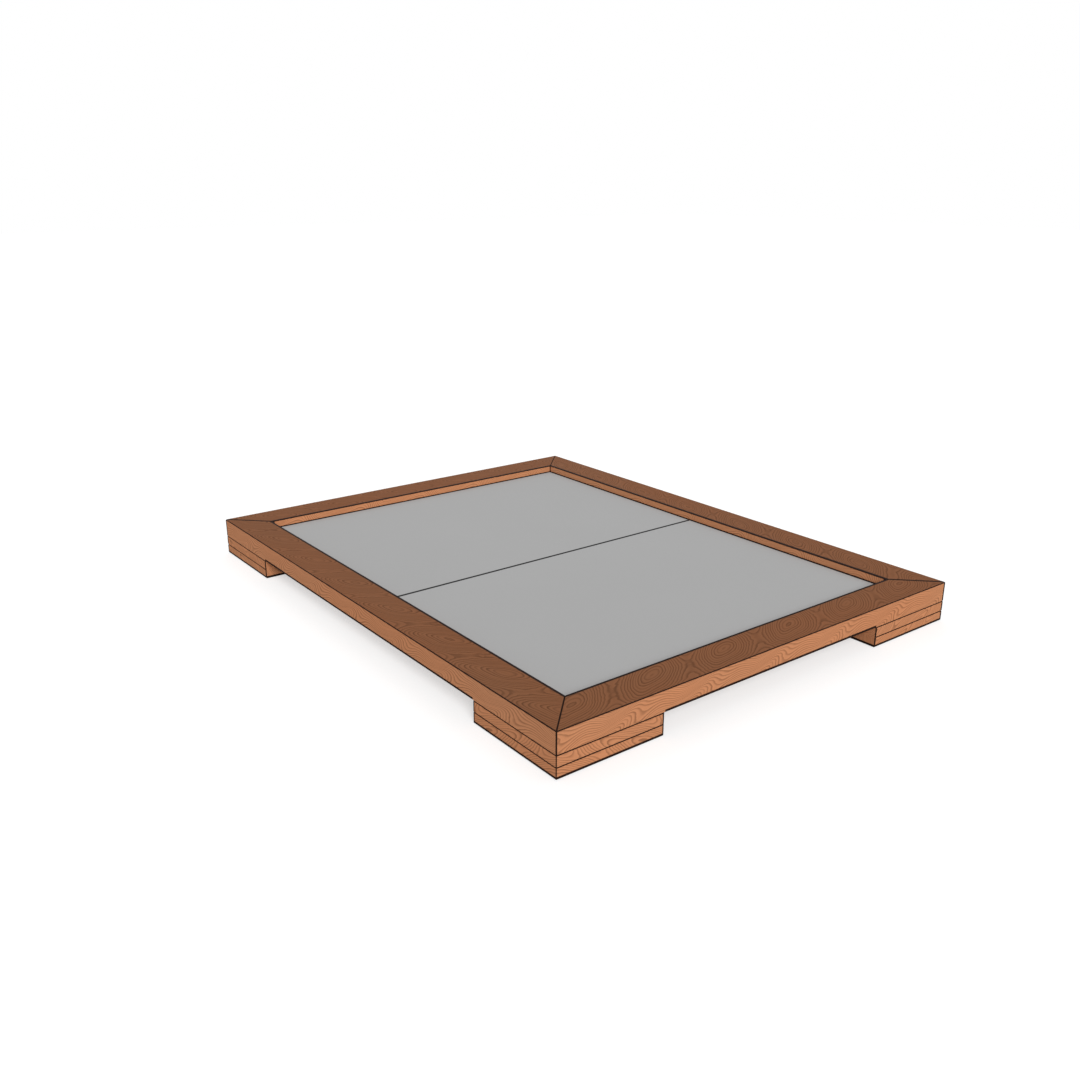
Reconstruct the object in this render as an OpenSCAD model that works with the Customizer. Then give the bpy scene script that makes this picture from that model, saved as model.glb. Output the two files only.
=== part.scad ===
// Low platform bed in solid timber.
// Four wide rails, mitred at the corners, stand on square legs of two stacked boards.
// Two drop-in deck panels lie below the top of the rails and leave a shallow mattress well.
// Origin on the floor at the middle of the bed; +Y points to the head end, +X to the right side.

/* [Mattress well] */
// Width of the well between the side rails
well_w = 1500; // [900:10:2000]
// Length of the well between the end rails
well_l = 2000; // [1800:10:2200]
// Depth of the well, from the top of the rails to the deck
well_depth = 30; // [15:1:36]

/* [Rails] */
// Width of a rail, seen from above
rail_w = 150; // [125:5:200]
// Height of a rail
rail_h = 75; // [69:1:100]
// Chamfer along the edges of the rails and legs
arris = 3; // [1:0.5:4]

/* [Corner legs] */
// Side of the square leg boards
leg_size = 400; // [340:10:500]
// Thickness of one leg board; each leg has two
leg_board_t = 37.5; // [30:0.5:45]

/* [Deck panels] */
// Thickness of a deck panel
deck_t = 18; // [12:1:24]
// Gap round the panels and at their seam
deck_gap = 3; // [1:0.5:5]
// Chamfer along the edges of the panels
deck_arris = 2; // [0.5:0.25:3]

/* [Cleats and bearers] */
// Width of the cleats, away from the rails
cleat_w = 45; // [35:1:55]
// Width of the spine and the cross bearers
bearer_w = 70; // [50:1:100]
// Height of the spine and the cross bearers
bearer_h = 45; // [36:1:54]
// Side of the square legs under the spine
centre_leg_w = 90; // [70:1:120]
// Side clearance of a lap joint
lap_fit = 0.5; // [0.2:0.1:1]
// Gap between a bearer's end and the rail
bearer_end_gap = 0.5; // [0.3:0.1:2]
// Chamfer along the edges of the legs under the spine
centre_leg_arris = 2; // [1:0.5:4]

/* [Loose tenons of the mitres] */
// Thickness of a loose tenon
tenon_t = 12; // [8:1:16]
// Width of a loose tenon, along the mitre
tenon_w = 40; // [30:1:46]
// Length of a loose tenon, across the mitre
tenon_l = 80; // [60:1:90]
// Clearance of a loose tenon in its mortise
tenon_fit = 0.2; // [0.1:0.05:0.4]

/* [Leg bolts] */
// Radius of the bolt shank
bolt_r = 4; // [3:0.5:5]
// Clearance between a bolt and the hole through the leg boards
bolt_clearance = 1; // [0.5:0.25:1.5]
// Width of the hexagon head across the flats
bolt_head_af = 13; // [10:1:17]
// Height of the hexagon head
bolt_head_h = 5.5; // [4:0.5:7]
// Depth of the counterbore that hides the head
bolt_recess = 14; // [10:1:18]
// Distance of the inner bolt from the corner of the well
bolt_from_well = 25; // [20:1:60]
// Distance of the outer bolt from the end of the leg
bolt_from_edge = 75; // [30:1:90]
// Radius of the washer
washer_r = 12; // [10:0.5:14]
// Thickness of the washer
washer_t = 2; // [1:0.5:3]
// Clearance of the washer in its counterbore
washer_fit = 1.5; // [0.5:0.5:3]
// Outer radius of the threaded insert
insert_r = 7; // [6:0.5:8]
// Length of the threaded insert
insert_l = 25; // [18:1:30]
// Length of the bolt that passes the end of the insert
bolt_beyond = 2; // [1:0.5:4]
// Depth of the hole beyond the point of the bolt
bolt_spare = 2; // [1:0.5:6]
// Radial clearance between metal and the hole that it is driven into
driven_fit = 0.1; // [0.05:0.05:0.2]

/* [Wood screws] */
// Radius of the screw shank
screw_r = 2.5; // [2:0.25:3]
// Radius of the countersunk head
screw_head_r = 5; // [4:0.25:6]
// Height of the countersunk head
screw_head_h = 3; // [2:0.25:4]
// Width of the hexagon socket across its corners
screw_socket_w = 4; // [3:0.25:5]
// Depth of the hexagon socket
screw_socket_d = 2; // [1:0.25:3]
// Length of a cleat screw in the rail
cleat_screw_bite = 25; // [15:5:45]
// Wood left above the point of a screw in a leg, which is driven from below
leg_screw_spare = 15; // [10:1:25]
// Wood left below the point of a screw in a lap joint
lap_screw_spare = 3; // [2:0.5:6]
// Distance of the inner leg screw from the inner edges of the leg
leg_screw_from_edge = 60; // [30:5:90]
// Distance of the outer leg screw from the corner of the well
leg_screw_from_well = 60; // [40:5:80]
// Depth of the leg screw's head below the face of the board
leg_screw_sink = 1; // [0.5:0.5:3]
// Length of the coach screw in the bearer above a centre leg
coach_bite = 14; // [8:1:16]

/* [Hidden] */
$fn = 48;
overrun = 1;                                   // how far every cut runs past its surface
bearer_spots = [-1, 0, 1];                     // bearers, counted from the middle to the head
tenon_shares = [0.24, 0.58];                   // places along the mitre, from the corner of the well
light_share = 0.75;                            // size of a light chamfer, of a full one
side_screws = 8;                               // screws in a side cleat, two in each bay
end_screws = 6;                                // screws in an end cleat

bed_w = well_w + 2 * rail_w;
bed_l = well_l + 2 * rail_w;
leg_h = 2 * leg_board_t;
bed_h = leg_h + rail_h;
deck_top = bed_h - well_depth;
deck_base = deck_top - deck_t;
panel_l = (well_l - 3 * deck_gap) / 2;
cleat_h = deck_base - leg_h;
cleat_lap = deck_base - cleat_h / 2;           // height of the laps in the cleats
bearer_base = deck_base - bearer_h;
bearer_lap = deck_base - bearer_h / 2;         // height of the laps where bearers cross the spine
bearer_pitch = well_l / 4;
mitre_l = rail_w * sqrt(2);
light_arris = light_share * arris;             // for edges that run into a full chamfer
tenon_z = leg_h + rail_h / 2;
bolt_hole_r = bolt_r + bolt_clearance;
bolt_seat = bolt_recess - washer_t;            // underside of the bolt head, above the floor
bolt_l = leg_h + insert_l + bolt_beyond - bolt_seat;
bolt_near = rail_w + bolt_from_well;
bolt_far = leg_size - bolt_from_edge;
bolt_places = [[rail_w / 2, bolt_near], [rail_w / 2, bolt_far],
               [bolt_near, rail_w / 2], [bolt_far, rail_w / 2]];
leg_screw_places = [for (d = [rail_w + leg_screw_from_well, leg_size - leg_screw_from_edge]) [d, d]];
leg_screw_l = leg_h - leg_screw_sink - leg_screw_spare;
cleat_screw_l = cleat_w + cleat_screw_bite;
lap_screw_l = cleat_h - lap_screw_spare;

rail_colour = [0.72, 0.47, 0.33];
leg_colour = [0.78, 0.52, 0.37];
deck_colour = [0.66, 0.66, 0.66];
pine_colour = [0.85, 0.70, 0.48];
beech_colour = [0.80, 0.62, 0.45];
steel_colour = [0.75, 0.76, 0.78];
brass_colour = [0.80, 0.66, 0.35];

// Places

// Puts what is drawn for the head right corner into another corner.
module in_corner(side, end) {
    mirror([side < 0 ? 1 : 0, 0, 0])
        mirror([0, end < 0 ? 1 : 0, 0])
            children();
}

// Draws the same thing in all four corners.
module in_each_corner() {
    for (side = [-1, 1], end = [-1, 1])
        in_corner(side, end) children();
}

// Places at the head right leg, measured inwards from the outer corner of the bed.
module at_leg(places) {
    for (p = places)
        translate([bed_w / 2 - p[0], bed_l / 2 - p[1], 0]) children();
}

// Screws up through a leg, with their heads sunk in its lower face.
module at_leg_screws() {
    at_leg(leg_screw_places)
        translate([0, 0, leg_screw_sink])
            mirror([0, 0, 1]) children();
}

// Loose tenons lie square across the mitre, at mid height of the rails.
module at_mitre() {
    for (share = tenon_shares)
        translate([well_w / 2, well_l / 2, tenon_z])
            rotate([0, 0, 45])
                translate([share * mitre_l, 0, 0]) children();
}

// Screws through the right cleat into its rail, with their heads on its inner face.
module at_side_cleat_screws() {
    for (i = [0.5 : side_screws])
        translate([well_w / 2 - cleat_w, well_l * (i / side_screws - 1 / 2), leg_h + cleat_h / 2])
            rotate([0, -90, 0]) children();
}

// Screws through the head cleat into its rail, with their heads on its inner face.
module at_end_cleat_screws() {
    for (i = [0.5 : end_screws])
        translate([well_w * (i / end_screws - 1 / 2), well_l / 2 - cleat_w, leg_h + cleat_h / 2])
            rotate([90, 0, 0]) children();
}

// Middle of the lap of a bearer and the right cleat, at the top.
module at_side_lap(spot) {
    translate([well_w / 2 - cleat_w / 2, spot * bearer_pitch, deck_base]) children();
}

// Middle of the lap of the spine and the head cleat, at the top.
module at_end_lap() {
    translate([0, well_l / 2 - cleat_w / 2, deck_base]) children();
}

// Where a bearer crosses the spine, at floor level.
module at_centre_leg(spot) {
    translate([0, spot * bearer_pitch, 0]) children();
}

// Basic shapes

// A rectangle with its four corners cut off at 45 degrees.
module eased_rectangle(w, l, ease) {
    polygon([
        [-w / 2 + ease, -l / 2], [w / 2 - ease, -l / 2], [w / 2, -l / 2 + ease], [w / 2, l / 2 - ease],
        [w / 2 - ease, l / 2], [-w / 2 + ease, l / 2], [-w / 2, l / 2 - ease], [-w / 2, -l / 2 + ease]
    ]);
}

// A board standing on its lower face, with all twelve edges chamfered.
module eased_board(w, l, h, ease) {
    intersection() {
        linear_extrude(h) eased_rectangle(w, l, ease);
        translate([-w / 2, 0, h / 2])
            rotate([90, 0, 90]) linear_extrude(w) eased_rectangle(l, h, ease);
        translate([0, l / 2, h / 2])
            rotate([90, 0, 0]) linear_extrude(l) eased_rectangle(w, h, ease);
    }
}

// A box given by its lowest and highest corner.
module span_box(low, high) {
    translate(low) cube(high - low);
}

// A countersunk wood screw that points down from its head at the origin.
module wood_screw(l) {
    difference() {
        union() {
            translate([0, 0, -screw_head_h])
                cylinder(h = screw_head_h, r1 = screw_r, r2 = screw_head_r);
            translate([0, 0, -l + 2 * screw_r])
                cylinder(h = l - 2 * screw_r - screw_head_h, r = screw_r);
            translate([0, 0, -l])
                cylinder(h = 2 * screw_r, r1 = screw_r / 4, r2 = screw_r);
        }
        translate([0, 0, -screw_socket_d])
            cylinder(h = screw_socket_d + overrun, r = screw_socket_w / 2, $fn = 6);
    }
}

// The hole that a wood screw of length l is driven into, with its countersink.
module wood_screw_hole(l, sink = 0) {
    fit = driven_fit;
    translate([0, 0, -l - fit]) cylinder(h = l + fit + overrun, r = screw_r + fit);
    translate([0, 0, -screw_head_h - fit])
        cylinder(h = screw_head_h + fit, r1 = screw_r, r2 = screw_head_r + fit);
    cylinder(h = sink + overrun, r = screw_head_r + fit);
}

// A bolt of length l, head down in its counterbore; the last stretch of it, point, is tapered.
module bolt(l, point = 0) {
    translate([0, 0, bolt_seat - bolt_head_h])
        cylinder(h = bolt_head_h, d = bolt_head_af / cos(30), $fn = 6);
    translate([0, 0, bolt_seat]) cylinder(h = l - point, r = bolt_r);
    if (point > 0)
        translate([0, 0, bolt_seat + l - point])
            cylinder(h = point, r1 = bolt_r, r2 = bolt_r / 4);
}

// A washer between the bolt head and the roof of the counterbore.
module washer() {
    translate([0, 0, bolt_seat])
        difference() {
            cylinder(h = washer_t, r = washer_r);
            translate([0, 0, -overrun])
                cylinder(h = washer_t + 2 * overrun, r = bolt_r + driven_fit);
        }
}

// Counterbore from the floor up, for the washer and the bolt head.
module counterbore() {
    translate([0, 0, -overrun])
        cylinder(h = bolt_recess + overrun, r = washer_r + washer_fit);
}

// Frame of rails

// Section of a rail: outer face at 0, inner face at rail_w, all four edges chamfered.
module rail_section() {
    translate([rail_w / 2, rail_h / 2]) eased_rectangle(rail_w, rail_h, arris);
}

// Plan of a rail of outer length l: two mitres and blunted outer corners.
module rail_plan(l) {
    half = l / 2;
    polygon([
        [-half + arris, 0], [half - arris, 0], [half - arris / 2, arris / 2],
        [half - rail_w, rail_w], [-half + rail_w, rail_w], [-half + arris / 2, arris / 2]
    ]);
}

// Light chamfer along the top edge of the mitre at the +X end, which makes half of a V groove.
module mitre_groove(l) {
    side = light_arris * sqrt(2);
    translate([l / 2, 0, rail_h])
        rotate([0, 0, 135])
            translate([mitre_l / 2, 0, 0])
                rotate([45, 0, 0])
                    cube([mitre_l + 2 * rail_w, side, side], center = true);
}

// A bare rail lying along X, with its outer face at y = 0 and its lower face at z = 0.
module bare_rail(l) {
    difference() {
        intersection() {
            linear_extrude(rail_h) rail_plan(l);
            translate([-l / 2, 0, 0]) rotate([90, 0, 90]) linear_extrude(l) rail_section();
        }
        mitre_groove(l);
        mirror([1, 0, 0]) mitre_groove(l);
    }
}

// Everything that is cut into the rails, at its place in the bed.
module rail_cuts() {
    in_each_corner() {
        at_mitre() loose_tenon(tenon_fit);
        at_leg(bolt_places)
            translate([0, 0, leg_h - overrun])
                cylinder(h = insert_l + bolt_beyond + bolt_spare + overrun, r = insert_r + driven_fit);
    }
    for (side = [0, 1]) {
        mirror([side, 0, 0]) at_side_cleat_screws() wood_screw_hole(cleat_screw_l);
        mirror([0, side, 0]) at_end_cleat_screws() wood_screw_hole(cleat_screw_l);
    }
}

// An end rail: end is 1 at the head and -1 at the foot.
module end_rail(end) {
    color(rail_colour)
        difference() {
            rotate([0, 0, end > 0 ? 180 : 0])
                translate([0, -bed_l / 2, leg_h]) bare_rail(bed_w);
            rail_cuts();
        }
}

// A side rail: side is 1 on the right and -1 on the left.
module side_rail(side) {
    color(rail_colour)
        difference() {
            rotate([0, 0, side * 90])
                translate([0, -bed_w / 2, leg_h]) bare_rail(bed_l);
            rail_cuts();
        }
}

// A tenon with rounded edges, lying along Y across the mitre.
module loose_tenon(fit = 0) {
    straight = tenon_w - tenon_t;
    l = tenon_l + 2 * fit;
    translate([0, l / 2, 0])
        rotate([90, 0, 0])
            linear_extrude(l)
                union() {
                    square([straight, tenon_t + 2 * fit], center = true);
                    for (side = [-1, 1])
                        translate([side * straight / 2, 0]) circle(r = tenon_t / 2 + fit);
                }
}

// Two loose tenons in each mitre.
module mitre_tenons() {
    color(beech_colour)
        in_each_corner() at_mitre() loose_tenon();
}

// Corner legs

// Plan of a leg board, with its outer corner at the highest x and y.
module leg_plan() {
    w = leg_size;
    polygon([
        [light_arris, 0], [w - light_arris, 0], [w, light_arris], [w, w - arris],
        [w - arris, w], [light_arris, w], [0, w - light_arris], [0, light_arris]
    ]);
}

// Section of a leg board from its inner side to its outer face, which has a chamfer above and below.
// The boards meet flush on the inner side, where foot is the chamfer along the floor.
module leg_section(foot) {
    w = leg_size;
    polygon(concat(
        foot > 0 ? [[0, foot], [foot, 0]] : [[0, 0]],
        [[w - arris, 0], [w, arris], [w, leg_board_t - arris], [w - arris, leg_board_t], [0, leg_board_t]]
    ));
}

// A bare leg board at the head right corner, with its lower face at height z.
module leg_board(z, foot = 0) {
    translate([bed_w / 2 - leg_size, bed_l / 2 - leg_size, z])
        intersection() {
            linear_extrude(leg_board_t) leg_plan();
            rotate([90, 0, 90]) linear_extrude(leg_size) leg_section(foot);
            translate([0, leg_size, 0])
                rotate([90, 0, 0]) linear_extrude(leg_size) leg_section(foot);
        }
}

// Holes for the bolts and screws of the head right leg.
module leg_bores() {
    at_leg(bolt_places) translate([0, 0, -overrun]) cylinder(h = leg_h + 2 * overrun, r = bolt_hole_r);
    at_leg_screws() wood_screw_hole(leg_screw_l, leg_screw_sink);
}

module upper_leg_board(side, end) {
    color(leg_colour)
        in_corner(side, end)
            difference() {
                leg_board(leg_board_t);
                leg_bores();
            }
}

module lower_leg_board(side, end) {
    color(leg_colour)
        in_corner(side, end)
            difference() {
                leg_board(0, foot = arris);
                leg_bores();
                at_leg(bolt_places) counterbore();
            }
}

// Threaded inserts, flush with the underside of the rails.
module rail_inserts() {
    color(brass_colour)
        in_each_corner()
            at_leg(bolt_places)
                translate([0, 0, leg_h])
                    difference() {
                        cylinder(h = insert_l, r = insert_r);
                        translate([0, 0, -overrun])
                            cylinder(h = insert_l + 2 * overrun, r = bolt_r + driven_fit);
                    }
}

module leg_bolts() {
    color(steel_colour)
        in_each_corner() at_leg(bolt_places) bolt(bolt_l);
}

module leg_washers() {
    color(steel_colour)
        in_each_corner() at_leg(bolt_places) washer();
}

module leg_screws() {
    color(steel_colour)
        in_each_corner() at_leg_screws() wood_screw(leg_screw_l);
}

// Cleats

// The upper half of a cleat, taken out round a place in plan.
module lap_notch(place, size) {
    translate([place[0] - size[0] / 2, place[1] - size[1] / 2, cleat_lap])
        cube([size[0], size[1], cleat_h / 2 + overrun]);
}

// A side cleat runs the whole length of the well, with a half lap for each bearer.
module side_cleat(side) {
    color(pine_colour)
        mirror([side < 0 ? 1 : 0, 0, 0])
            difference() {
                span_box([well_w / 2 - cleat_w, -well_l / 2, leg_h], [well_w / 2, well_l / 2, deck_base]);
                for (spot = bearer_spots)
                    lap_notch([well_w / 2 - cleat_w / 2, spot * bearer_pitch],
                              [cleat_w + 2 * overrun, bearer_w + 2 * lap_fit]);
                at_side_cleat_screws() wood_screw_hole(cleat_screw_l);
                for (spot = bearer_spots)
                    at_side_lap(spot) wood_screw_hole(lap_screw_l);
            }
}

// An end cleat lies between the side cleats, with a half lap for the spine.
module end_cleat(end) {
    reach = well_w / 2 - cleat_w;
    color(pine_colour)
        mirror([0, end < 0 ? 1 : 0, 0])
            difference() {
                span_box([-reach, well_l / 2 - cleat_w, leg_h], [reach, well_l / 2, deck_base]);
                lap_notch([0, well_l / 2 - cleat_w / 2],
                          [bearer_w + 2 * lap_fit, cleat_w + 2 * overrun]);
                at_end_cleat_screws() wood_screw_hole(cleat_screw_l);
                at_end_lap() wood_screw_hole(lap_screw_l);
            }
}

module cleat_screws() {
    color(steel_colour)
        for (side = [0, 1]) {
            mirror([side, 0, 0]) at_side_cleat_screws() wood_screw(cleat_screw_l);
            mirror([0, side, 0]) at_end_cleat_screws() wood_screw(cleat_screw_l);
        }
}

// Spine and bearers

// What is cut from under the end of a bearer along +X, so that only a tongue reaches the rail.
module under_tongue(span) {
    translate([span / 2 - cleat_w - lap_fit, -bearer_w / 2 - overrun, bearer_base - overrun])
        cube([cleat_w + lap_fit + overrun, bearer_w + 2 * overrun, cleat_lap - bearer_base + overrun]);
}

// A plain beam along X with a tongue at each end, under the deck.
module tongued_beam(span) {
    reach = span / 2 - bearer_end_gap;
    difference() {
        span_box([-reach, -bearer_w / 2, bearer_base], [reach, bearer_w / 2, deck_base]);
        under_tongue(span);
        mirror([1, 0, 0]) under_tongue(span);
    }
}

// The spine runs lengthwise; the bearers are let into its top.
module spine() {
    notch = bearer_w + 2 * lap_fit;
    color(pine_colour)
        difference() {
            rotate([0, 0, 90]) tongued_beam(well_l);
            for (spot = bearer_spots)
                at_centre_leg(spot) {
                    translate([-bearer_w / 2 - overrun, -notch / 2, bearer_lap])
                        cube([bearer_w + 2 * overrun, notch, bearer_h / 2 + overrun]);
                    cylinder(h = deck_base, r = bolt_hole_r);
                }
            for (end = [0, 1])
                mirror([0, end, 0]) at_end_lap() wood_screw_hole(lap_screw_l);
        }
}

// A cross bearer, cut away below where it crosses the spine.
module bearer(spot) {
    notch = bearer_w + 2 * lap_fit;
    color(pine_colour)
        difference() {
            translate([0, spot * bearer_pitch, 0]) tongued_beam(well_w);
            at_centre_leg(spot) {
                translate([-notch / 2, -bearer_w / 2 - overrun, bearer_base - overrun])
                    cube([notch, bearer_w + 2 * overrun, bearer_h / 2 + overrun]);
                cylinder(h = bearer_lap + coach_bite + driven_fit, r = bolt_r + driven_fit);
            }
            for (side = [0, 1])
                mirror([side, 0, 0]) at_side_lap(spot) wood_screw_hole(lap_screw_l);
        }
}

module lap_screws() {
    color(steel_colour) {
        for (side = [0, 1], spot = bearer_spots)
            mirror([side, 0, 0]) at_side_lap(spot) wood_screw(lap_screw_l);
        for (end = [0, 1])
            mirror([0, end, 0]) at_end_lap() wood_screw(lap_screw_l);
    }
}

// Legs under the spine

// A short square leg below the crossing of the spine and a bearer.
module centre_leg(spot) {
    color(pine_colour)
        at_centre_leg(spot)
            difference() {
                eased_board(centre_leg_w, centre_leg_w, bearer_base, centre_leg_arris);
                translate([0, 0, -overrun]) cylinder(h = bearer_base + 2 * overrun, r = bolt_hole_r);
                counterbore();
            }
}

module coach_screws() {
    color(steel_colour)
        for (spot = bearer_spots)
            at_centre_leg(spot) bolt(bearer_lap + coach_bite - bolt_seat, point = 2 * bolt_r);
}

module coach_washers() {
    color(steel_colour)
        for (spot = bearer_spots)
            at_centre_leg(spot) washer();
}

// Deck

// A drop-in panel: end is 1 for the head half and -1 for the foot half.
module deck_panel(end) {
    color(deck_colour)
        translate([0, end * (panel_l + deck_gap) / 2, deck_base])
            eased_board(well_w - 2 * deck_gap, panel_l, deck_t, deck_arris);
}

end_rail(1);  // head_rail
end_rail(-1);  // foot_rail
side_rail(-1);  // left_rail
side_rail(1);  // right_rail
mitre_tenons();
upper_leg_board(-1, 1);  // head_left_leg_upper
lower_leg_board(-1, 1);  // head_left_leg_lower
upper_leg_board(1, 1);  // head_right_leg_upper
lower_leg_board(1, 1);  // head_right_leg_lower
upper_leg_board(-1, -1);  // foot_left_leg_upper
lower_leg_board(-1, -1);  // foot_left_leg_lower
upper_leg_board(1, -1);  // foot_right_leg_upper
lower_leg_board(1, -1);  // foot_right_leg_lower
rail_inserts();
leg_bolts();
leg_washers();
leg_screws();
end_cleat(1);  // head_cleat
end_cleat(-1);  // foot_cleat
side_cleat(-1);  // left_cleat
side_cleat(1);  // right_cleat
cleat_screws();
spine();
bearer(1);  // head_bearer
bearer(0);  // middle_bearer
bearer(-1);  // foot_bearer
lap_screws();
centre_leg(1);  // head_centre_leg
centre_leg(0);  // middle_centre_leg
centre_leg(-1);  // foot_centre_leg
coach_screws();
coach_washers();
deck_panel(1);  // head_deck_panel
deck_panel(-1);  // foot_deck_panel
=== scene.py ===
import math
import bpy
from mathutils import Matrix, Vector


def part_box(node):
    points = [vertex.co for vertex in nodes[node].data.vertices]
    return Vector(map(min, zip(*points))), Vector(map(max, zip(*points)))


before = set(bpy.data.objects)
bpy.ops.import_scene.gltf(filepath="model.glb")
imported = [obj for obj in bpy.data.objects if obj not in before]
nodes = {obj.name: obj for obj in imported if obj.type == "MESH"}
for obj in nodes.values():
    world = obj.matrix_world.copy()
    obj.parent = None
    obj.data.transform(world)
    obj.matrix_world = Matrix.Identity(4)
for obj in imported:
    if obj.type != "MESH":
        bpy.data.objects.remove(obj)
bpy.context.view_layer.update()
print("frame loaded,", len(nodes), "pieces")


# camera, at the height and distance of the photograph

camera = {
    "place": (-2.4389, -3.0967, 1.5470),
    "heading": 52.676,                   # degrees from +X towards +Y
    "dip": 19.082,                       # degrees below the horizon
    "sensor": 36.0,
    "lens": 35.159,
    "clip": (0.05, 300.0),
}


def aim(heading, dip):
    # the rotation of a camera or lamp that looks along a heading and down by a dip
    heading, dip = math.radians(heading), math.radians(dip)
    level = math.cos(dip)
    ahead = Vector((level * math.cos(heading), level * math.sin(heading), -math.sin(dip)))
    return ahead.to_track_quat("-Z", "Y").to_euler()


def makeCamera():
    data = bpy.data.cameras.new("viewCamera")
    data.sensor_width = camera["sensor"]
    data.lens = camera["lens"]
    data.clip_start, data.clip_end = camera["clip"]
    made = bpy.data.objects.new("viewCamera", data)
    bpy.context.scene.collection.objects.link(made)
    made.location = camera["place"]
    made.rotation_euler = aim(camera["heading"], camera["dip"])
    bpy.context.scene.camera = made


makeCamera()
print("camera ready")


# shader tools

seedShift = (3.71, 1.93, 5.17)           # how far one step of a seed moves a noise


class Wire:
    # One socket of a node, so that shader maths can be written as an expression.
    def __init__(self, look, socket):
        self.look = look
        self.socket = socket

    def __add__(self, other):
        return self.look.maths("ADD", self, other)

    def __radd__(self, other):
        return self.look.maths("ADD", other, self)

    def __sub__(self, other):
        return self.look.maths("SUBTRACT", self, other)

    def __rsub__(self, other):
        return self.look.maths("SUBTRACT", other, self)

    def __mul__(self, other):
        return self.look.maths("MULTIPLY", self, other)

    def __rmul__(self, other):
        return self.look.maths("MULTIPLY", other, self)

    def __truediv__(self, other):
        return self.look.maths("DIVIDE", self, other)

    def __rtruediv__(self, other):
        return self.look.maths("DIVIDE", other, self)

    def __pow__(self, other):
        return self.look.maths("POWER", self, other)

    def __rpow__(self, other):
        return self.look.maths("POWER", other, self)

    def __abs__(self):
        return self.look.maths("ABSOLUTE", self)


class Look:
    # One material, or the world, and the nodes it is made of.
    def __init__(self, name, world=False):
        self.owner = bpy.data.worlds.new(name) if world else bpy.data.materials.new(name)
        self.owner.use_nodes = True
        self.tree = self.owner.node_tree
        self.tree.nodes.clear()

    def node(self, kind, settings, sockets, output=0):
        made = self.tree.nodes.new("ShaderNode" + kind)
        for key, value in settings.items():
            if key == "stops":
                ramp = made.color_ramp
                while len(ramp.elements) < len(value):
                    ramp.elements.new(0.5)
                for element, (place, shade) in zip(ramp.elements, value):
                    element.position = place
                    element.color = (shade, shade, shade, 1)
            else:
                setattr(made, key, value)
        for key, value in sockets.items():
            if isinstance(value, Wire):
                self.tree.links.new(value.socket, made.inputs[key])
            elif value is not None:
                made.inputs[key].default_value = value
        return Wire(self, made.outputs[output]) if made.outputs else None

    def maths(self, operation, *values):
        # Vector Math where a value is a vector, or else Math
        vector = any(isinstance(v, tuple) or isinstance(v, Wire) and v.socket.type == "VECTOR" for v in values)
        if vector:
            values = [(v, v, v) if isinstance(v, (int, float)) else v for v in values]
        return self.node("VectorMath" if vector else "Math", {"operation": operation}, dict(enumerate(values)))

    def larger(self, first, second):
        return self.maths("MAXIMUM", first, second)

    def smaller(self, first, second):
        return self.maths("MINIMUM", first, second)

    def rise(self, value, low, high):
        # 0 below low and 1 above high, with a smooth step between
        return self.node("MapRange", {"interpolation_type": "SMOOTHSTEP"},
                         {"Value": value, "From Min": low, "From Max": high})

    def noise(self, place, seed, detail=2.0, rough=0.5):
        # about -0.5 to 0.5
        shifted = place + tuple(seed * shift for shift in seedShift)
        return self.node("TexNoise", {"noise_dimensions": "3D"},
                         {"Vector": shifted, "Scale": 1.0, "Detail": detail, "Roughness": rough}) - 0.5

    def place(self):
        return self.node("TexCoord", {}, {}, "Object")

    def parts(self, vector):
        split = self.node("SeparateXYZ", {}, {"Vector": vector}).socket.node
        return [Wire(self, split.outputs[i]) for i in range(3)]

    def join(self, x, y, z):
        return self.node("CombineXYZ", {}, {"X": x, "Y": y, "Z": z})

    def blend(self, share, first, second, mode="MIX"):
        first, second = [c + (1,) if isinstance(c, tuple) else c for c in (first, second)]
        return self.node("Mix", {"data_type": "RGBA", "blend_type": mode}, {0: share, 6: first, 7: second}, 2)

    def shaded(self, colour, red, green, blue):
        # a colour times a share for each of its channels
        return self.blend(1.0, colour, self.join(red, green, blue), "MULTIPLY")

    def surface(self, colour, roughness, height, relief, metal=0.0, shine=0.5):
        # shine is the specular level, and relief the depth of a height of 1, in metres
        bump = self.node("Bump", {}, {"Height": height, "Strength": 1.0, "Distance": relief})
        shader = self.node("BsdfPrincipled", {}, {"Base Color": colour, "Roughness": roughness, "Metallic": metal,
                                                  "Specular IOR Level": shine, "Normal": bump})
        return self.close(shader)

    def close(self, shader, kind="OutputMaterial"):
        self.node(kind, {}, {"Surface": shader})
        return self.owner


def mixed(start, marks, shares):
    # start, plus each mark times its share
    for name, share in shares.items():
        start = start + marks[name] * share
    return start


def dress(name, material):
    data = nodes[name].data
    if len(data.materials) == 0:
        data.materials.append(material)
    for i in range(len(data.materials)):
        data.materials[i] = material


def boxOf(name):
    # the middle of a piece's box, and half its size
    low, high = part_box(name)
    return (low + high) / 2, (high - low) / 2


# growth rings of the timber and the pine

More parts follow.
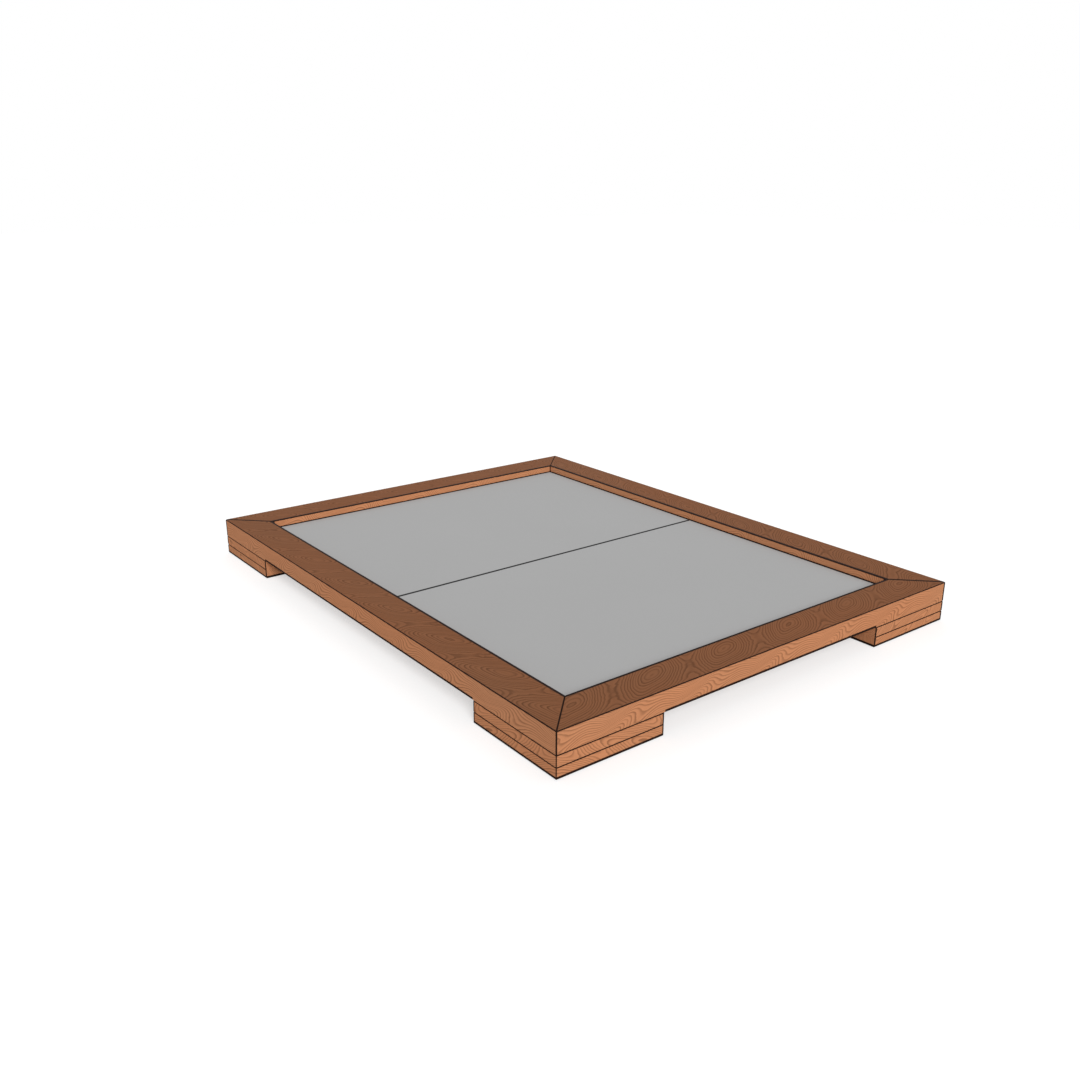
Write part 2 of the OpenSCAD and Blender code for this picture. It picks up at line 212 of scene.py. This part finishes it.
rings = {
    "upperFace": (0.80, 0.95),           # a face counts as an upper one where its normal's Z rises through these
    "driftScale": (1.7, 4.0, 4.0),       # how fine the noises are that bend the rings, along and across the grain
    "waverScale": (5.0, 16.0, 16.0),
    "rippleScale": (16.0, 70.0, 70.0),
    "profile": [(0.0, 0.0), (0.45, 0.16), (0.80, 1.0), (0.90, 0.85), (1.0, 0.0)],    # darkness from ring to ring
    "palest": 0.5,                       # the palest ring, as a share of the darkest
    "flat": (0.05, 0.45),                # a ring fades as its slope to the face falls through these
    "faintest": 0.25,                    # what is left of a ring that lies flat in the face
    "mean": 0.30,                        # the even darkness that takes the place of the rest
}
railGrain = {
    "figure": 0.305,                     # from one oval figure to the next
    "ringPitch": (0.0086, 0.0112),       # between growth rings, on upright and on upper faces
    "pithAside": 0.005,                  # mean place of the pith, across and down from the upper face
    "pithDepth": 0.066,
    "swingAside": 0.020,                 # how far it winds, across, and up and down
    "swingDepth": 0.052,
    "lag": 3.6,                          # by how many radians the first trails the second
    "leanAcross": 0.7,                   # how the figures lean, across and upwards
    "leanUp": -1.0,
    "slantAcross": 0.20,                 # how the rings slant, across and upwards
    "slantUp": 0.80,
    "broad": 0.0,                        # how much broader the ovals are than the gaps between them
    "drift": 0.9,                        # how uneven the figures' spacing is, in radians
    "stray": 0.030,                      # how far the pith strays from its path
    "waver": 2.1,                        # how far the rings wander, in rings, over long and short ways
    "ripple": 0.60,
}
legGrain = dict(
    railGrain, pithAside=0.0, pithDepth=0.065, swingAside=0.034, swingDepth=0.040, lag=4.6, leanUp=0.2,
    slantAcross=0.25, slantUp=0.45, broad=0.3, stray=0.045, ripple=0.75,
    start=0.055, startStep=0.113, seed=10.0)                 # each board starts at a place of its own
pineGrain = {
    "figure": 0.9, "ringPitch": (0.0042, 0.0042), "pithAside": 0.012, "pithDepth": 0.060,
    "swingAside": 0.006, "swingDepth": 0.012, "lag": 0.8, "leanAcross": 0.2, "leanUp": 0.1,
    "slantAcross": 0.0, "slantUp": 0.0, "broad": 0.2, "drift": 0.8, "stray": 0.01, "waver": 0.9, "ripple": 0.3,
    "start": 0.0, "startStep": 0.17, "seed": 30.0,
}


def grainOf(grain, number):
    # the grain of one piece out of several
    return dict(grain, start=grain["start"] + grain["startStep"] * number, seed=grain["seed"] + number)


def facingUp(look):
    normal = look.node("TexCoord", {}, {}, "Normal")
    return look.rise(look.parts(normal)[2], *rings["upperFace"])


def growthRings(look, u, v, w, grain, upward):
    # Rings round a pith that winds below the face; where it comes near, they close to ovals.
    # u runs along the grain, v across it, and w up from the upper face.
    place = look.join(u, v, w)
    turn = 2 * math.pi / grain["figure"]
    drift = look.noise(place * rings["driftScale"], grain["seed"], 1.0)
    way = u + v * grain["leanAcross"] + w * grain["leanUp"] - grain["start"]
    way = way * turn + drift * grain["drift"]
    swing = way - look.maths("SINE", way) * grain["broad"]
    late = swing - grain["lag"]
    stray = drift * grain["stray"]
    aside = v - grain["pithAside"] - look.maths("COSINE", late) * grain["swingAside"] - stray
    below = w + grain["pithDepth"] - look.maths("COSINE", swing) * grain["swingDepth"] + stray
    radius = (aside * aside + below * below) ** 0.5
    waver = look.noise(place * rings["waverScale"], grain["seed"] + 3) * grain["waver"]
    ripple = look.noise(place * rings["rippleScale"], grain["seed"] + 5) * grain["ripple"]
    slant = v * grain["slantAcross"] + w * grain["slantUp"]
    sidePitch, topPitch = grain["ringPitch"]
    count = (radius + slant) / (sidePitch + upward * (topPitch - sidePitch)) + waver + ripple
    line = look.node("ValToRGB", {"stops": rings["profile"]}, {"Fac": look.maths("FRACT", count)})
    number = look.node("TexWhiteNoise", {"noise_dimensions": "1D"}, {"W": look.maths("FLOOR", count)})
    line = line * (number * (1 - rings["palest"]) + rings["palest"])
    # how fast the distance from the pith grows along the face: a ring that lies almost flat shows wide and faint
    lengthwise = aside * look.maths("SINE", late) * (grain["swingAside"] * turn)
    lengthwise = (lengthwise + below * look.maths("SINE", swing) * (grain["swingDepth"] * turn)) / radius
    lengthwise = lengthwise * (1 - look.maths("COSINE", way) * grain["broad"])
    crosswise = aside / radius + lengthwise * grain["leanAcross"] + grain["slantAcross"]
    upright = below / radius + lengthwise * grain["leanUp"] + grain["slantUp"]
    slope = upright + upward * (crosswise - upright)
    steep = look.rise((lengthwise * lengthwise + slope * slope) ** 0.5, *rings["flat"])
    keep = steep * (1 - rings["faintest"]) + rings["faintest"]
    return place, line * keep + (1 - keep) * rings["mean"]


# solid timber of the rails and legs

timber = {
    "top": (0.2015, 0.0815, 0.0370),     # upper faces, painted darker as shade
    "side": (0.488, 0.211, 0.1025),      # upright faces, lighter than the painted shade of the upper faces
    "edge": (0.012, 0.006, 0.005),       # burnished edges, and painted shade along lower edges and where the deck meets the rails
    "arris": (0.0024, 0.0038),           # the burnish is full up to the first distance, and ends at the second
    "joint": (0.0014, 0.0030),           # the same for the dark line of a joint
    "deckShadowLine": (0.0018, 0.0030),        # and for the painted shadow line where the deck meets the rails
    "burnishAndShade": 0.98,                     # how far the burnish and the painted shade cover the wood
    "lowerEdgeShade": 0.0070,                 # how much wider it is along lower edges, as painted shade under the rails and at the floor,
    "innerEdge": 0.0090,                 # along the well's rim,
    "cornerEdge": 0.0060,                # and beside upright edges, at the ends with the wider mitre line
    "fibreScale": (22.0, 520.0, 520.0),  # how fine the marks are, along and across the grain
    "poreScale": (60.0, 900.0, 900.0),
    "cloudScale": (2.6, 9.0, 9.0),
    "hueScale": (1.6, 6.0, 6.0),
    "poreLimits": (0.17, 0.26),
    "ground": 1.13,                      # tone between the rings, and what each mark adds to it
    "toneShares": {"line": -0.56, "fibre": 0.16, "cloud": 0.12, "pores": -0.10},
    "hueShares": (0.08, -0.05, -0.16),   # how red, green and blue drift
    "roughness": 0.60,
    "roughShares": {"fibre": 0.14, "line": 0.05, "burnishAndShade": -0.08},
    "relief": 0.00012,
    "heightShares": {"line": -0.5, "fibre": 0.6, "pores": -0.8},
    "shine": 0.02,
}


def burnished(look, distance, limits):
    return 1 - look.rise(distance, *limits)


def timberLook(look, u, v, w, grain, arris, joint, deckShadowLine=None):
    # arris, joint and the deck line are the distances from the nearest edge, the joint of two boards, and the
    # deck's level on the inner face, where a painted shadow line runs
    upward = facingUp(look)
    place, line = growthRings(look, u, v, w, grain, upward)
    fibre = look.noise(place * timber["fibreScale"], grain["seed"] + 7, 3.0, 0.6)
    pores = look.rise(look.noise(place * timber["poreScale"], grain["seed"] + 9, 1.0), *timber["poreLimits"])
    cloud = look.noise(place * timber["cloudScale"], grain["seed"] + 11)
    hue = look.noise(place * timber["hueScale"], grain["seed"] + 13, 1.0)
    # the dark band is burnish along the edges and joints, and painted shade along lower edges and at the deck's
    # level
    burnishAndShade = look.larger(burnished(look, arris, timber["arris"]), burnished(look, joint, timber["joint"]))
    if deckShadowLine is not None:
        burnishAndShade = look.larger(burnishAndShade, burnished(look, deckShadowLine, timber["deckShadowLine"]))
    marks = {"line": line, "fibre": fibre, "pores": pores, "cloud": cloud, "burnishAndShade": burnishAndShade}
    shade = mixed(timber["ground"], marks, timber["toneShares"])
    # painted shade: faces that look up take the darker top colour, as though less light fell on them than on the
    # sides
    colour = look.shaded(look.blend(upward, timber["side"], timber["top"]), shade, shade, shade)
    colour = look.shaded(colour, *[1 + hue * share for share in timber["hueShares"]])
    colour = look.blend(burnishAndShade * timber["burnishAndShade"], colour, timber["edge"])
    roughness = mixed(timber["roughness"], marks, timber["roughShares"])
    height = mixed(0.0, marks, timber["heightShares"])
    return look.surface(colour, roughness, height, timber["relief"], shine=timber["shine"])


# rails

# each rail: the direction of its grain, its outer side, the end with the wider mitre line,
# the way its grain is counted, and where its figures start
rails = {
    "foot_rail": {"along": "x", "outer": -1, "wide": 1, "run": 1, "start": 0.110, "seed": 1.0},
    "head_rail": {"along": "x", "outer": 1, "wide": -1, "run": 1, "start": 0.205, "seed": 2.0},
    "left_rail": {"along": "y", "outer": -1, "wide": 1, "run": -1, "start": 0.081, "seed": 3.0},
    "right_rail": {"along": "y", "outer": 1, "wide": -1, "run": -1, "start": 0.145, "seed": 4.0},
}
# distances from a mitre are multiplied by these, so the smaller one gives the wider line
mitreLine = {"wide": 0.46, "fine": 1.6}
legSize = boxOf("foot_left_leg_upper")[1].x * 2
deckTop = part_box("head_deck_panel")[1].z


def makeRail(name, settings):
    centre, half = boxOf(name)
    look = Look("timber_" + name)
    x, y, z = look.parts(look.place() - tuple(centre))
    along, across = (x, y) if settings["along"] == "x" else (y, x)
    reach, width = (half.x, half.y) if settings["along"] == "x" else (half.y, half.x)
    fromOuter = width - across * settings["outer"]
    fromInner, fromTop, fromBottom = 2 * width - fromOuter, half.z - z, half.z + z
    fromEnd = reach - abs(along)
    wide = look.maths("GREATER_THAN", along * settings["wide"], 0.0)
    onLeg = look.maths("GREATER_THAN", abs(along), reach - legSize)
    # painted shade: the dark band is wider along the rail's lower edges, where the shade under it falls
    lower = fromBottom - timber["lowerEdgeShade"] + onLeg           # above a leg there is a joint and no open edge
    arris = look.larger(look.smaller(fromOuter, fromInner - timber["innerEdge"]), look.smaller(fromTop, lower))
    corner = look.larger(fromEnd - timber["cornerEdge"], fromOuter) + (1 - wide)
    mitre = abs((fromEnd - fromOuter) * math.sqrt(0.5))
    mitre = mitre * (mitreLine["fine"] + wide * (mitreLine["wide"] - mitreLine["fine"]))
    joint = look.smaller(mitre, fromBottom + (1 - onLeg))
    # painted shadow: a dark line on the inner face at the deck's level, where the gap beside the deck lies in
    # shade
    deckShadowLine = look.larger(abs(z - (deckTop - centre.z)), fromInner)
    grain = dict(railGrain, start=settings["start"], seed=settings["seed"])
    u = reach + along * settings["run"]
    dress(name, timberLook(look, u, width - fromOuter, z - half.z, grain,
                           look.smaller(arris, corner), joint, deckShadowLine))


for railName, railSettings in rails.items():
    makeRail(railName, railSettings)
print("rails dressed")


# legs

# distances from an upright edge are multiplied by these, so a smaller one gives a wider line
legLine = {
    "wide": 0.29,                        # at the corners below the wider mitre lines
    "fine": 1.1,                         # and at the other corners
    "nearFace": 0.42,                    # at the ends of the outer faces, on the near leg
    "outerFace": 0.6,                    # and on the other legs
    "innerFace": 1.2,                    # beside the same ends, on the inner faces
}
legCorners = {"head_left": (-1, 1), "head_right": (1, 1), "foot_left": (-1, -1), "foot_right": (1, -1)}
innerSkin = 0.0008                       # a point less deep than this is on an inner face


def makeLegBoard(corner, board, number):
    # The grain runs along both outer faces and turns on the diagonal, as it does in the rails above.
    name = corner + "_leg_" + board
    side, end = legCorners[corner]
    centre, half = boxOf(name)
    look = Look("timber_" + name)
    x, y, z = look.parts(look.place() - tuple(centre))
    fromX, fromY = half.x - x * side, half.y - y * end
    innerX, innerY = 2 * half.x - fromX, 2 * half.y - fromY
    nearY = look.maths("LESS_THAN", fromY, fromX)
    u = fromX * nearY + fromY * (1 - nearY)
    depth = fromY * nearY + fromX * (1 - nearY)
    inner = look.maths("LESS_THAN", look.smaller(innerX, innerY), innerSkin)
    above, below = half.z - z, half.z + z
    if board == "upper":                 # the boards are flush at the inner faces, so no line shows there
        joint, lower = look.smaller(above + facingUp(look), below + inner), 1.0
    else:
        # painted shadow: the lower board's bottom edge gets a wider dark band, standing in for the contact shadow
        # at the floor
        joint, lower = above + inner, below - timber["lowerEdgeShade"]
    outer = legLine["wide"] if side * end == -1 else legLine["fine"]
    face = legLine["nearFace"] if corner == "foot_left" else legLine["outerFace"]
    uprights = [(fromX * outer, fromY * outer), (innerX, innerY),
                (innerX * face, fromY * legLine["innerFace"]), (fromX * legLine["innerFace"], innerY * face)]
    arris = look.larger(look.smaller(look.smaller(fromX, innerX), look.smaller(fromY, innerY)), lower)
    for first, second in uprights:
        arris = look.smaller(arris, look.larger(first, second))
    dress(name, timberLook(look, u, z, depth * -1, grainOf(legGrain, number), arris, joint))


for cornerNumber, cornerName in enumerate(legCorners):
    makeLegBoard(cornerName, "upper", 2.0 * cornerNumber)
    makeLegBoard(cornerName, "lower", 2.0 * cornerNumber + 1)
print("legs dressed")


# grey deck panels

deck = {
    "face": (0.381, 0.381, 0.381),
    "edge": (0.012, 0.012, 0.013),
    "arris": (0.0042, 0.0056),           # the dark sealer, partly a sealed edge and partly painted shadow of the gap at the rails, is full up to the first distance, and ends at the second
    "sealerAndGapShade": 0.95,                      # how far it covers the board
    "rim": 0.0008,                       # how much wider it is along the rails than at the seam, as painted shadow of the gap beside the rails
    "cloudScale": 2.3,
    "gritScale": 420.0,
    "peelScale": 160.0,
    "toneShares": {"cloud": 0.03, "grit": 0.05},
    "roughness": 0.78,
    "roughShares": {"grit": 0.1},
    "relief": 0.00008,
    "heightShares": {"peel": 1.0, "grit": 0.5},
    "shine": 0.10,
}


def middleOf(look, a, b, c):
    # the middle one of three distances: on a face of a box, how far the next edge is
    return look.larger(look.smaller(a, b), look.smaller(look.larger(a, b), c))


def makeDeckPanel(name, seam, seed):
    centre, half = boxOf(name)
    look = Look("board_" + name)
    place = look.place()
    x, y, z = look.parts(place - tuple(centre))
    toEnd = look.smaller(half.y - y * seam, half.y - deck["rim"] + y * seam)
    edge = middleOf(look, half.x - deck["rim"] - abs(x), toEnd, half.z - abs(z))
    marks = {
        "cloud": look.noise(place * deck["cloudScale"], seed),
        "grit": look.noise(place * deck["gritScale"], seed + 2, 3.0, 0.6),
        "peel": look.noise(place * deck["peelScale"], seed + 4),
    }
    shade = mixed(1.0, marks, deck["toneShares"])
    colour = look.shaded(deck["face"], shade, shade, shade)
    # dark sealed edge of the board, widened along the rails as painted shadow of the gap there
    colour = look.blend(burnished(look, edge, deck["arris"]) * deck["sealerAndGapShade"], colour, deck["edge"])
    roughness = mixed(deck["roughness"], marks, deck["roughShares"])
    height = mixed(0.0, marks, deck["heightShares"])
    dress(name, look.surface(colour, roughness, height, deck["relief"], shine=deck["shine"]))


makeDeckPanel("head_deck_panel", -1, 21.0)
makeDeckPanel("foot_deck_panel", 1, 22.0)
print("deck dressed")


# pine of the cleats, the spine, the bearers and the short legs

pine = {
    "early": (0.700, 0.452, 0.236),
    "late": (0.470, 0.245, 0.098),
    "knot": (0.170, 0.075, 0.032),
    "lateShare": 0.75,                   # how far late wood and knots cover the early wood
    "knotShare": 0.85,
    "knotScale": (2.2, 9.0, 9.0),
    "knotSize": (0.05, 0.12),
    "knotFringe": 0.05,
    "fibreScale": (14.0, 420.0, 420.0),
    "cloudScale": (2.0, 10.0, 10.0),
    "toneShares": {"fibre": 0.14, "cloud": 0.22},
    "roughness": 0.62,
    "roughShares": {"fibre": 0.15},
    "relief": 0.00015,
    "heightShares": {"fibre": 0.6, "line": -0.4},
    "shine": 0.25,
}
pinePieces = {
    "head_cleat": "x", "foot_cleat": "x", "left_cleat": "y", "right_cleat": "y", "spine": "y",
    "head_bearer": "x", "middle_bearer": "x", "foot_bearer": "x",
    "head_centre_leg": "z", "middle_centre_leg": "z", "foot_centre_leg": "z",
}


def makePine(name, along, number):
    centre, half = boxOf(name)
    look = Look("pine_" + name)
    x, y, z = look.parts(look.place() - tuple(centre))
    u, v, w = {"x": (x, y, z), "y": (y, x, z), "z": (z, x, y)}[along]
    place, line = growthRings(look, u, v, w, grainOf(pineGrain, number), facingUp(look))
    fibre = look.noise(place * pine["fibreScale"], number + 40, 3.0, 0.6)
    cloud = look.noise(place * pine["cloudScale"], number + 42)
    marks = {"line": line, "fibre": fibre, "cloud": cloud}
    shade = mixed(1.0, marks, pine["toneShares"])
    colour = look.shaded(look.blend(line * pine["lateShare"], pine["early"], pine["late"]), shade, shade, shade)
    shifted = place * pine["knotScale"] + (number, number * 2, number * 3)
    cells = look.node("TexVoronoi", {"voronoi_dimensions": "3D", "feature": "F1"},
                      {"Vector": shifted, "Scale": 1.0}, "Distance")
    knot = 1 - look.rise(cells + fibre * pine["knotFringe"], *pine["knotSize"])
    colour = look.blend(knot * pine["knotShare"], colour, pine["knot"])
    roughness = mixed(pine["roughness"], marks, pine["roughShares"])
    height = mixed(0.0, marks, pine["heightShares"])
    dress(name, look.surface(colour, roughness, height, pine["relief"], shine=pine["shine"]))


for pineNumber, (pineName, pineAlong) in enumerate(pinePieces.items()):
    makePine(pineName, pineAlong, float(pineNumber))
print("pine dressed")


# beech of the loose tenons

beech = {
    "ground": (0.560, 0.350, 0.190),
    "fleck": (0.340, 0.170, 0.080),
    "fleckShare": 0.6,
    "fleckScale": (260.0, 260.0, 60.0),
    "fleckLimits": (0.10, 0.20),
    "fibreScale": (120.0, 120.0, 260.0),
    "fibreShare": 0.16,
    "roughness": 0.6,
    "roughShare": 0.1,
    "relief": 0.0001,
    "shine": 0.25,
}


def makeBeech():
    look = Look("beech_tenons")
    place = look.place()
    fibre = look.noise(place * beech["fibreScale"], 51.0, 3.0, 0.6)
    fleck = look.rise(look.noise(place * beech["fleckScale"], 53.0), *beech["fleckLimits"])
    shade = 1 + fibre * beech["fibreShare"]
    colour = look.blend(fleck * beech["fleckShare"], beech["ground"], beech["fleck"])
    colour = look.shaded(colour, shade, shade, shade)
    roughness = beech["roughness"] + fibre * beech["roughShare"]
    dress("mitre_tenons", look.surface(colour, roughness, fibre, beech["relief"], shine=beech["shine"]))


makeBeech()
print("tenons dressed")


# metal of the fastenings

metals = {
    "zinc": {"colour": (0.560, 0.570, 0.590), "dull": (0.330, 0.335, 0.350), "roughness": 0.34},
    "brass": {"colour": (0.720, 0.500, 0.190), "dull": (0.420, 0.260, 0.090), "roughness": 0.30},
}
plate = {
    "stainScale": 90.0,
    "stainLimits": (-0.05, 0.22),
    "stainShare": 0.6,
    "grainScale": 1500.0,
    "roughShares": {"stain": 0.16, "grain": 0.08},
    "relief": 0.00002,
}
metalPieces = {
    "rail_inserts": "brass", "leg_bolts": "zinc", "leg_washers": "zinc", "leg_screws": "zinc",
    "cleat_screws": "zinc", "lap_screws": "zinc", "coach_screws": "zinc", "coach_washers": "zinc",
}


def makeMetal(kind):
    settings = metals[kind]
    look = Look(kind + "_plate")
    place = look.place()
    stain = look.rise(look.noise(place * plate["stainScale"], 61.0, 3.0, 0.6), *plate["stainLimits"])
    grain = look.noise(place * plate["grainScale"], 63.0)
    colour = look.blend(stain * plate["stainShare"], settings["colour"], settings["dull"])
    roughness = mixed(settings["roughness"], {"stain": stain, "grain": grain}, plate["roughShares"])
    return look.surface(colour, roughness, grain, plate["relief"], metal=1.0)


metalLooks = {kind: makeMetal(kind) for kind in metals}
for metalName, metalKind in metalPieces.items():
    dress(metalName, metalLooks[metalKind])
print("fastenings dressed")


# floor, backdrop and lamps

studio = {
    "white": (1, 1, 1, 1),
    "skyForLight": 0.52,
    "skyForCamera": 1.0,
    "floorSize": 60.0,
    "floorDrop": 0.0005,                 # keeps the floor clear of the legs' undersides
    "floorAlbedo": 0.45,
    "floorForCamera": (0.55, 0.52),      # diffuse colour and plain glow that the camera sees
    "lamps": {                           # strength over pi, and degrees of softness, heading and height
        "keyLamp": {"level": 0.81, "soft": 26, "heading": 64, "height": 31},
        "fillLamp": {"level": 0.12, "soft": 40, "heading": 235, "height": 40},
    },
}


def makeFloor():
    side = studio["floorSize"] / 2
    data = bpy.data.meshes.new("studioFloor")
    data.from_pydata([(-side, -side, 0), (side, -side, 0), (side, side, 0), (-side, side, 0)], [], [(0, 1, 2, 3)])
    made = bpy.data.objects.new("studioFloor", data)
    bpy.context.scene.collection.objects.link(made)
    made.location = (0, 0, -studio["floorDrop"])
    look = Look("studio_floor")
    seen = look.node("LightPath", {}, {}, "Is Camera Ray")
    albedo, glow = studio["floorForCamera"]
    plain = look.node("BsdfDiffuse", {}, {"Color": (studio["floorAlbedo"],) * 3 + (1,)})
    bright = look.node("BsdfDiffuse", {}, {"Color": (albedo,) * 3 + (1,)})
    shine = look.node("Emission", {}, {"Color": studio["white"], "Strength": glow})
    pale = look.node("AddShader", {}, {0: bright, 1: shine})
    data.materials.append(look.close(look.node("MixShader", {}, {0: seen, 1: plain, 2: pale})))


def makeSky():
    look = Look("studioSky", world=True)
    shown = look.node("LightPath", {}, {}, "Is Camera Ray")
    for name in ("Is Glossy Ray", "Is Transmission Ray"):
        shown = look.larger(shown, look.node("LightPath", {}, {}, name))
    plain = look.node("Background", {}, {"Color": studio["white"], "Strength": studio["skyForLight"]})
    pale = look.node("Background", {}, {"Color": studio["white"], "Strength": studio["skyForCamera"]})
    world = look.close(look.node("MixShader", {}, {0: shown, 1: plain, 2: pale}), "OutputWorld")
    bpy.context.scene.world = world


def makeLamps():
    for name, settings in studio["lamps"].items():
        data = bpy.data.lights.new(name, "SUN")
        data.energy = settings["level"] * math.pi
        data.angle = math.radians(settings["soft"])
        made = bpy.data.objects.new(name, data)
        bpy.context.scene.collection.objects.link(made)
        made.rotation_euler = aim(settings["heading"], settings["height"])


makeFloor()
makeSky()
makeLamps()
bpy.context.scene.view_settings.view_transform = "Standard"
print("studio ready")
